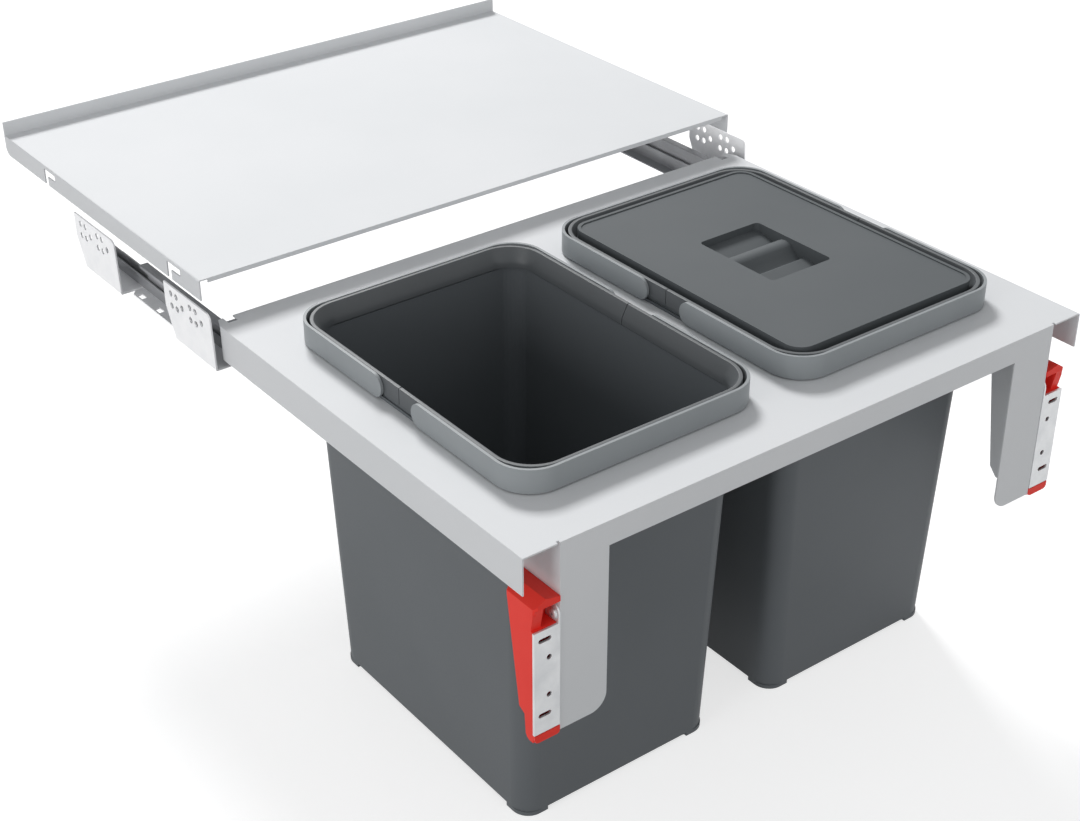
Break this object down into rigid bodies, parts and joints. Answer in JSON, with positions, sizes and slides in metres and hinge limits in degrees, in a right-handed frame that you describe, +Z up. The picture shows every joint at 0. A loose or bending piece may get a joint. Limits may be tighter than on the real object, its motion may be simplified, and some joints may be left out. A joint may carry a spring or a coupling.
{
  "type": "pull-out two-bin waste unit",
  "caption": "Pull-out waste unit for a base cabinet: steel tray on runners with lift-out bins, hinged bin handles, a lid, front fixing plates and a fixed cover shelf.",
  "frame": {"origin": "Centre of the four stated screw holes in the outer face of the left front bracket, on the inner face of the left cabinet side.", "axes": "+X to the right, +Y to the back of the cabinet, +Z up; stored with the tray pulled right out towards -Y."},
  "size_m": [0.568, 0.7918, 0.3585],
  "materials": {
    "grey_coated_sheet": "light grey powder coat, fine texture",
    "zinc_bracket": "zinc-plated pressed steel",
    "runner_steel": "rolled steel profile, dull",
    "red_plastic": "moulded, half gloss",
    "plate_steel": "zinc-plated pressed steel",
    "screw_steel": "zinc-plated",
    "bin_plastic": "moulded polypropylene, fine grain",
    "handle_plastic": "moulded polypropylene, fine grain",
    "ring_plastic": "moulded polypropylene, fine grain",
    "lid_plastic": "moulded polypropylene, fine grain"
  },
  "bodies": {
    "cabinet_side": {"shelf": "grey_coated_sheet", "bracket_left_front": "zinc_bracket", "bracket_left_rear": "zinc_bracket", "bracket_right_front": "zinc_bracket", "bracket_right_rear": "zinc_bracket", "cab_rail_left": "runner_steel", "cab_rail_right": "runner_steel"},
    "middle_left": {"mid_rail_left": "runner_steel"},
    "middle_right": {"mid_rail_right": "runner_steel"},
    "pull_out": {"tray": "grey_coated_sheet", "tray_rail_left": "runner_steel", "tray_rail_right": "runner_steel", "adapter_left": "red_plastic", "adapter_right": "red_plastic", "front_plate_left": "plate_steel", "front_plate_right": "plate_steel", "plate_screws": "screw_steel"},
    "left_bin": {"bin_left": "bin_plastic"},
    "right_bin": {"bin_right": "bin_plastic", "ring_right_rear": "ring_plastic", "ring_right_front": "ring_plastic"},
    "left_rear_handle": {"bail_left_rear": "handle_plastic"},
    "left_front_handle": {"bail_left_front": "handle_plastic"},
    "right_rear_handle": {"bail_right_rear": "handle_plastic"},
    "right_front_handle": {"bail_right_front": "handle_plastic"},
    "left_rear_ring": {"ring_left_rear": "ring_plastic"},
    "left_front_ring": {"ring_left_front": "ring_plastic"},
    "right_lid": {"lid": "lid_plastic"}
  },
  "joints": [
    {"name": "tray_slide", "type": "slide", "parent": "cabinet_side", "child": "pull_out", "axis": [0, -1, 0], "range_m": [-0.382, 0]},
    {"name": "middle_left_slide", "type": "slide", "parent": "cabinet_side", "child": "middle_left", "axis": [0, -1, 0], "range_m": [-0.191, 0]},
    {"name": "middle_right_slide", "type": "slide", "parent": "cabinet_side", "child": "middle_right", "axis": [0, -1, 0], "range_m": [-0.191, 0]},
    {"name": "left_bin_lift", "type": "slide", "parent": "pull_out", "child": "left_bin", "axis": [0, 0, 1], "range_m": [0, 0.34]},
    {"name": "right_bin_lift", "type": "slide", "parent": "pull_out", "child": "right_bin", "axis": [0, 0, 1], "range_m": [0, 0.34]},
    {"name": "left_rear_handle_hinge", "type": "hinge", "parent": "left_bin", "child": "left_rear_handle", "pos_m": [0.1572, -0.2063, 0.0103], "axis": [1, 0, 0], "range_deg": [0, 90]},
    {"name": "left_front_handle_hinge", "type": "hinge", "parent": "left_bin", "child": "left_front_handle", "pos_m": [0.1572, -0.2645, 0.0103], "axis": [-1, 0, 0], "range_deg": [0, 90]},
    {"name": "right_rear_handle_hinge", "type": "hinge", "parent": "right_bin", "child": "right_rear_handle", "pos_m": [0.4108, -0.2063, 0.0103], "axis": [1, 0, 0], "range_deg": [0, 90]},
    {"name": "right_front_handle_hinge", "type": "hinge", "parent": "right_bin", "child": "right_front_handle", "pos_m": [0.4108, -0.2645, 0.0103], "axis": [-1, 0, 0], "range_deg": [0, 90]},
    {"name": "left_rear_ring_hinge", "type": "hinge", "parent": "left_bin", "child": "left_rear_ring", "pos_m": [0.1572, -0.2351, 0.0195], "axis": [1, 0, 0], "range_deg": [0, 90]},
    {"name": "left_front_ring_hinge", "type": "hinge", "parent": "left_bin", "child": "left_front_ring", "pos_m": [0.1572, -0.2357, 0.0195], "axis": [-1, 0, 0], "range_deg": [0, 90]},
    {"name": "lid_lift", "type": "slide", "parent": "right_bin", "child": "right_lid", "axis": [0, 0, 1], "range_m": [0, 0.15]}
  ],
  "couplings": [
    {"joint": "middle_left_slide", "follows": "tray_slide", "ratio": 0.5},
    {"joint": "middle_right_slide", "follows": "tray_slide", "ratio": 0.5}
  ]
}
